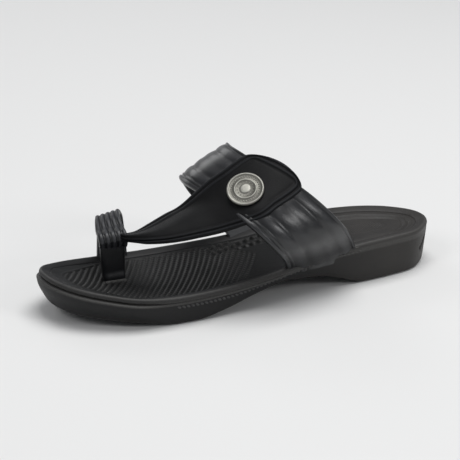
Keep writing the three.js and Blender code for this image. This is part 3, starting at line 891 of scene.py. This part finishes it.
# Ribs under the forefoot: pitch, height, lean and bend of their lines, how deep they stand, the notches
# across them, how far in from the outline they start at the ball and how much more at the toe, their rear
# end, and the height of the border round them
RIB_PITCH = 3.7
RIB_HEIGHT = 1.0
RIB_LEAN = 0.6
RIB_BEND = 0.0018
RIB_SINK = 0.45
NOTCH_PITCH = 3.1
NOTCH_LEAN = 0.35
NOTCH_SHARE = 0.42
RIB_MARGIN = 9.4
RIB_TOE_MARGIN = 5.6
RIB_START = 113
BORDER_HEIGHT = 0.3

# Nubs at the medial arch: pitches along and across, height, how deep they stand, and both ends
NUB_PITCH = (5.2, 6.5)
NUB_HEIGHT = 1.6
NUB_SINK = 0.6
NUB_FROM, NUB_TO = 88, 140

# Raised lip of the slot that the toe post goes into: both ends, y, half width and height
LIP_ENDS = (-87.5, -73)
LIP_Y = 2.5
LIP_HALF = 1.5
LIP_HEIGHT = 1.1

# Lines round the heel: distance in from the outline, half width and height
HEEL_LINES = [(10.3, 1.3, 0.4), (12.2, 1, -0.5), (14, 1.3, 0.45), (16, 1, -0.45)]
HEEL_LINES_FROM = 86
HEEL_LINES_FADE = 22

# Plain oval pad with a fine knurl in the middle of the heel
PAD_CENTRE = (83, 1.5)
PAD_HALF = (17, 8.5)
PAD_HEIGHT = 0.3
KNURL_PITCH = 3
KNURL_HEIGHT = 0.2
# The post's lip is painted pale as its highlight by this much, which is also the most any spot gets
MOST_WEAR_AND_HIGHLIGHT = 3.3


def rib_relief(x, y, place, inside):
    """Notched ribs and the soft raised border round them: their height, and the ribs' own share."""
    ridge = ripple(x - RIB_LEAN * y + RIB_BEND * y * y, RIB_PITCH)
    notch = 1 - ripple(y + NOTCH_LEAN * x, NOTCH_PITCH)
    notched = NOTCH_SHARE + 0.35 * smooth((y - 8) / 14) + 0.4 * smooth((16 - inside) / 3)
    lattice = ridge * (1 - notched * notch)
    margin = RIB_MARGIN + RIB_TOE_MARGIN * smooth((place - 196) / 36)
    start = RIB_START + 0.6 * np.abs(y - 1.5)
    ribbed = smooth((inside - margin) / 0.8) * smooth((place - start) / 5)
    border = BORDER_HEIGHT * bump_at(inside, margin - 0.9, 1.3) * smooth((place - start - 6) / 8)
    return RIB_HEIGHT * (lattice - RIB_SINK) * ribbed + border, ribbed * lattice


def nub_relief(x, y, place, inside):
    """Rows of nubs across the medial arch: their height, and their own share."""
    at_arch = smooth((y - 13) / 2) * smooth((inside - 8.8) / 1)
    at_arch = at_arch * smooth((place - NUB_FROM) / 3) * smooth((NUB_TO - place) / 3)
    columns = ripple(x + 0.25 * y + 2, NUB_PITCH[0])
    rows = ripple(y - 0.2 * x, NUB_PITCH[1])
    nubs = smooth((columns * rows - 0.12) / 0.5)
    return at_arch * (NUB_HEIGHT * nubs - NUB_SINK), at_arch * nubs


def pad_relief(x, y):
    """The oval pad in the heel, with its knurl."""
    oval = np.hypot((x - PAD_CENTRE[0]) / PAD_HALF[0], (y - PAD_CENTRE[1]) / PAD_HALF[1])
    knurl = np.cos((x + y) * TURN / KNURL_PITCH) * np.cos((x - y) * TURN / KNURL_PITCH)
    pad = PAD_HEIGHT * smooth((1 - oval) / 0.12)
    return pad + KNURL_HEIGHT * knurl * smooth((0.84 - oval) / 0.1)


def bed_relief(points, inside):
    """Height of the footbed's pattern, and how pale it is: rubbed, and a painted highlight on crests and the
    post's lip.
    """
    x, y = points[:, 0], points[:, 1]
    place = LENGTH / 2 - x
    rib_height, ribs = rib_relief(x, y, place, inside)
    nub_height, nubs = nub_relief(x, y, place, inside)
    beside_post = smooth((x - LIP_ENDS[0]) / 1.5) * smooth((LIP_ENDS[1] - x) / 1.5)
    lip = bump_at(y, LIP_Y, LIP_HALF) * beside_post
    relief = (rib_height + nub_height) * (1 - lip) + LIP_HEIGHT * lip
    lines = sum(height * bump_at(inside, at, half) for at, half, height in HEEL_LINES)
    relief += smooth((HEEL_LINES_FROM - place) / HEEL_LINES_FADE) * lines
    relief += pad_relief(x, y)
    # The lip is painted fully pale as a highlight; the crests of ribs and nubs partly
    return relief, np.clip(ribs + 0.7 * nubs + MOST_WEAR_AND_HIGHLIGHT * lip, 0, MOST_WEAR_AND_HIGHLIGHT)


def make_footbed():
    around = Outline(BED_STATIONS)
    loops = []
    wear_and_highlight = []
    rim = 1 - BED_INSET / around.width
    for part in BED_UNDER_PARTS:
        share = part * rim
        loops.append(around.loop(share, around.bed_height(share) - BED_THICKNESS))
    for more, above in BED_EDGE_ROWS:
        loops.append(around.inset(BED_EDGE + more, around.rim - BED_DROP + above))
    wear_and_highlight += [np.zeros(around.count)] * len(loops)
    top = 1 - (BED_INSET + BED_BEVEL) / around.width
    for part in np.linspace(1, BED_MIDDLE, BED_RINGS):
        share = part * top
        loop = around.loop(share, around.bed_height(share))
        relief, worn_and_highlit = bed_relief(loop, around.width * (1 - share))
        loop[:, 2] += relief
        loops.append(loop)
        wear_and_highlight.append(BED_WEAR_AND_HIGHLIGHT * worn_and_highlit)
    points = np.concatenate(loops)
    faces = around.faces(len(loops))
    add_mesh("footbed_body", points, faces, [bed_foam], ["footbed"], BED_SHARP, np.array(wear_and_highlight))


make_footbed()

# Upper

BAND_ROWS = 190
LOOP_ROWS = 110
SECTION_FINENESS = 3
UPPER_SHARP = 50
# Rise above which a rib's crest is painted pale: rubbing, and on the loop a painted highlight
RIB_WORN_AND_HIGHLIT_AT = 0.6

# Toe post: places across its round edges and its middle, how full the rounding is, and the flare at its foot
POST_ROWS = 60
POST_EDGE = (0, 0.015, 0.04, 0.08, 0.14)
POST_MIDDLE = (0.22, 0.78, 9)
POST_FULLNESS = 0.92
POST_FLARE = 0.9
FLARE_TOP = 21
FLARE_HEIGHT = 4
POST_WEAR = 0.1

# T-strap: rows along its rear hem and its body, places across between the welts, the width in welts below
# which these get smaller, how much thinner the hem is, and where its welts are rubbed paler and painted with
# their highlight
HEM_ROWS = 34
HEM_END = (9, 10, 12, 14)
BODY_START = 16
BODY_ROWS = 110
PANEL_COLUMNS = 20
WIDTH_SAMPLES = 9
NARROWEST = 2.6
HEM_THINNING = 0.4
WELT_WORN_AND_HIGHLIT_AT = 0.65
WELTS_END = 5.5


def upper_piece(name, point, normal, rise, depth, materials, worn_and_highlit):
    """One piece of the upper, from its face, the rise on it, its depth and how pale its outer side is:
    rubbed, and a painted highlight on the loop's ribs and the T-strap's welts.
    """
    points, faces, kinds = wall(raised(point, normal, rise), raised(point, normal, -depth))
    wear_and_highlight = np.concatenate([worn_and_highlit.ravel(), np.zeros(worn_and_highlit.size)])
    add_mesh(name, points, faces, materials, ["upper"], UPPER_SHARP, wear_and_highlight, kinds)


def make_strap(name, face, last, count, rows, thickness, materials):
    """The band or the loop, from its face, its last row, its section and its thickness."""
    along = np.linspace(0, last, count)
    across = spread(rows, SECTION_FINENESS)
    shares = np.broadcast_to(across, (len(along), len(across)))
    point, normal = face(along[:, None], shares)
    rise = np.broadcast_to(curve(*zip(*rows))(across), shares.shape)
    # paler rib crests: rubbing, and on the loop a painted highlight
    worn_and_highlit = np.clip(rise / RIB_WORN_AND_HIGHLIT_AT, 0, 1) ** 3
    upper_piece(name, point, normal, rise, thickness - edge_bevel(shares), materials, worn_and_highlit)


def make_post():
    far_edge = [1 - share for share in reversed(POST_EDGE)]
    across = np.concatenate([POST_EDGE, np.linspace(*POST_MIDDLE), far_edge])
    along = np.linspace(0, len(POST) - 1, POST_ROWS)
    shares = np.broadcast_to(across, (len(along), len(across)))
    point, normal = edge_surface(POST)(along[:, None], shares)
    near_edge = np.clip(1 - np.minimum(shares, 1 - shares) / POST_EDGE[-1], 0, 1)
    bulge = POST_FULLNESS * POST_THICKNESS / 2 * (1 - np.sqrt(np.clip(1 - near_edge ** 2, 0, 1)))
    flare = POST_FLARE * smooth((FLARE_TOP - point[..., 2]) / FLARE_HEIGHT)
    outer = raised(point, normal, flare - bulge)
    inner = raised(point, normal, bulge - POST_THICKNESS - flare)
    points, faces, _ = wall(outer, inner)
    wear_and_highlight = np.full(len(points), POST_WEAR)
    add_mesh("toe_post", points, faces, [loop_leather], ["upper"], UPPER_SHARP, wear_and_highlight)


def strap_grid():
    """Places along the T-strap, shares across it, and the width and the size of the welts of each row."""
    hem = np.concatenate([np.linspace(0, WELT_REACH, HEM_ROWS), HEM_END])
    along = np.concatenate([hem, np.linspace(BODY_START, STRAP_FREE_AT[-1], BODY_ROWS)])
    left = spread(STRAP_WELTS, SECTION_FINENESS)
    middle = np.linspace(0, 1, PANEL_COLUMNS + 2)[1:-1]
    shares, widths, scales = [], [], []
    for place in along:
        arc = curve(*strap_rows(np.linspace(0, 1, WIDTH_SAMPLES)))(np.array(place))
        width = np.linalg.norm(np.diff(arc, axis=0), axis=1).sum()
        scale = min(1, width / (NARROWEST * WELT_REACH))
        edge = left * scale / width
        inner = edge[-1] + (1 - 2 * edge[-1]) * middle
        shares.append(np.concatenate([edge, inner, 1 - edge[::-1]]))
        widths.append([width])
        scales.append([scale])
    shares = np.array(shares)
    return np.broadcast_to(along[:, None], shares.shape), shares, np.array(widths), np.array(scales)


def make_t_strap():
    behind, shares, width, scale = strap_grid()
    sideways = np.minimum(shares, 1 - shares) * width / scale
    # the rear corners are round: what lies outside their bend is drawn in onto it
    reach = np.hypot(WELT_REACH - sideways, WELT_REACH - behind)
    outside = (sideways < WELT_REACH) & (behind < WELT_REACH) & (reach > WELT_REACH)
    drawn = np.where(outside, (WELT_REACH + CORNER_LEFT * (reach - WELT_REACH)) / np.maximum(reach, 1), 1)
    sideways = WELT_REACH - (WELT_REACH - sideways) * drawn
    behind = WELT_REACH - (WELT_REACH - behind) * drawn
    from_edge = sideways * scale / width
    shares = np.where(outside, np.where(shares < 0.5, from_edge, 1 - from_edge), shares)
    point, normal = strap_face(behind, shares)
    # the welts follow the edge, round the corners too
    at_corner = (sideways < WELT_REACH) & (behind < WELT_REACH)
    from_bend = WELT_REACH - np.hypot(WELT_REACH - sideways, WELT_REACH - behind)
    nearest = np.where(at_corner, np.maximum(from_bend, 0), np.minimum(sideways, behind))
    rise = eased(STRAP_WELTS, np.minimum(nearest, WELT_REACH)) * (0.5 + 0.5 * scale)
    rise = rise + STRAP_CROWN * smooth((nearest - 5) / 9) * smooth((behind - 40) / 30)
    depth = STRAP_WALL - HEM_THINNING * (1 - smooth(nearest))
    # paler welts: rubbing, and painted highlight lines
    worn_and_highlit = np.clip(rise / WELT_WORN_AND_HIGHLIT_AT, 0, 1) ** 3 * (nearest < WELTS_END)
    upper_piece("t_strap", point, normal, rise, depth, [strap_leather, lining], worn_and_highlit)


band_materials = [band_leather, lining]
loop_materials = [loop_leather, lining]
make_strap("instep_band", band_face, len(BAND) - 1, BAND_ROWS, BAND_RIBS, BAND_WALL, band_materials)
make_strap("toe_loop", edge_surface(LOOP), len(LOOP) - 1, LOOP_ROWS, LOOP_RIBS, LOOP_WALL, loop_materials)
make_post()
make_t_strap()

# Button

BUTTON_SIDES = 96
BUTTON_SHARP = 40
# Height of the hollows of its face, and how far above them the metal is rubbed bright
HOLLOW = 1.4
BRIGHT_ABOVE = 0.35
# Rings of beads: number, radius of the ring and half length of a bead. A bead's other half sizes are shares.
BEADS = [(34, 8.2, 0.55), (14, 4.6, 0.45)]
BEAD_SHARES = (1, 0.8, 0.75)
BEAD_HEIGHT = 1.42
BEAD_WEAR = 0.75


def make_button():
    axis = unit(np.array(BUTTON_AXIS))
    aside = unit(np.cross(axis, [0, 0, 1]))
    upward = np.cross(aside, axis)
    bottom = np.array(BUTTON_CENTRE) + axis * (SEAT_TOP + FIT_GAP)

    def outward(turn):
        return aside * math.cos(turn) + upward * math.sin(turn)

    points = [bottom]
    wear_and_highlight = [0]
    for radius, height in BUTTON_SECTION[1:-1]:
        for k in range(BUTTON_SIDES):
            points.append(bottom + outward(TURN * k / BUTTON_SIDES) * radius + axis * height)
        wear_and_highlight += [float(smooth((height - HOLLOW) / BRIGHT_ABOVE))] * BUTTON_SIDES
    points.append(bottom + axis * BUTTON_SECTION[-1][1])
    wear_and_highlight.append(1)
    rings = len(BUTTON_SECTION) - 2
    faces = []
    for k in range(BUTTON_SIDES):
        after = (k + 1) % BUTTON_SIDES
        faces.append((0, 1 + after, 1 + k))
        for ring in range(rings - 1):
            a = 1 + ring * BUTTON_SIDES
            faces.append((a + k, a + after, a + BUTTON_SIDES + after, a + BUTTON_SIDES + k))
        a = 1 + (rings - 1) * BUTTON_SIDES
        faces.append((a + k, a + after, len(points) - 1))
    for count, radius, size in BEADS:
        for k in range(count):
            out = outward(TURN * (k + 0.5) / count)
            centre = bottom + out * radius + axis * BEAD_HEIGHT
            half = [size * share for share in BEAD_SHARES]
            more, sides = lump(centre, out, np.cross(axis, out), axis, half)
            faces += [tuple(v + len(points) for v in face) for face in sides]
            points += more
            wear_and_highlight += [BEAD_WEAR] * len(more)
    add_mesh("button_disc", points, faces, [pewter()], ["button"], BUTTON_SHARP, wear_and_highlight)


make_button()

# Floor, light and camera

FLOOR_HALF = 6.0
floor_mesh = bpy.data.meshes.new("floor")
corners = [(x * FLOOR_HALF, y * FLOOR_HALF, 0) for x, y in ((-1, -1), (1, -1), (1, 1), (-1, 1))]
floor_mesh.from_pydata(corners, [], [(0, 1, 2, 3)])
floor = bpy.data.objects.new("floor", floor_mesh)
bpy.context.scene.collection.objects.link(floor)
paper = Material("pale_floor", Roughness=0.85, Specular_IOR_Level=0.2)
paper.shader.inputs["Base Color"].default_value = linear(228, 228, 227)
floor_mesh.materials.append(paper.data)


def area_light(name, size, power, place, towards):
    data = bpy.data.lights.new(name, "AREA")
    data.shape = "RECTANGLE"
    data.size, data.size_y = size
    data.energy = power
    light = bpy.data.objects.new(name, data)
    light.location = place
    light.rotation_euler = (Vector(towards) - Vector(place)).to_track_quat("-Z", "Y").to_euler()
    bpy.context.scene.collection.objects.link(light)


area_light("key", (1.3, 1.3), 26, (0.3, -0.05, 1.8), (0, 0, 0))
area_light("side", (0.5, 0.7), 4, (-1.2, -0.5, 1.2), (0, 0, 0.03))
area_light("front", (0.4, 0.35), 4, (0.75, -1.25, 0.8), (0, 0, 0.04))
area_light("back", (1.0, 0.6), 3.2, (-0.18, 1.5, 0.77), (0, 0, 0.04))
bpy.context.scene.view_settings.view_transform = "Standard"

world = bpy.data.worlds.new("studio")
bpy.context.scene.world = world
world.use_nodes = True
world.node_tree.nodes["Background"].inputs["Color"].default_value = (0.93, 0.95, 1, 1)
world.node_tree.nodes["Background"].inputs["Strength"].default_value = 0.24

# The camera stands where the photo's did. It is turned onto the shoe and its lens is 1.5 times as long,
# because the photo shows a pair and the part is one shoe. The photo's focus and middle, and the place in it
# that the camera is turned to, are in pixels of the photo.
CAMERA = (-403.1, -880.3, 400.3)
FORWARD = (0.343, 0.886, -0.312)
RIGHT = (0.9291, -0.3689, -0.0253)
UP = (0.1375, 0.2811, 0.9498)
PHOTO_FOCUS = 1150
PHOTO_MIDDLE = 230
AIM = (288, 279)
LENS = 135

forward, right, up = Vector(FORWARD), Vector(RIGHT), Vector(UP)
across_aim = (AIM[0] - PHOTO_MIDDLE) / PHOTO_FOCUS
down_aim = (AIM[1] - PHOTO_MIDDLE) / PHOTO_FOCUS
aim = (forward + right * across_aim - up * down_aim).normalized()
turned_up = (up - aim * up.dot(aim)).normalized()
turned_right = aim.cross(turned_up)
camera_data = bpy.data.cameras.new("camera")
camera_data.lens = LENS
camera_data.sensor_width = 36
camera = bpy.data.objects.new("camera", camera_data)
camera.matrix_world = Matrix.Translation(Vector((np.array(CAMERA) + SHIFT) * MM)) @ Matrix(
    [[turned_right[i], turned_up[i], -aim[i]] for i in range(3)]
).to_4x4()
bpy.context.scene.collection.objects.link(camera)
bpy.context.scene.camera = camera
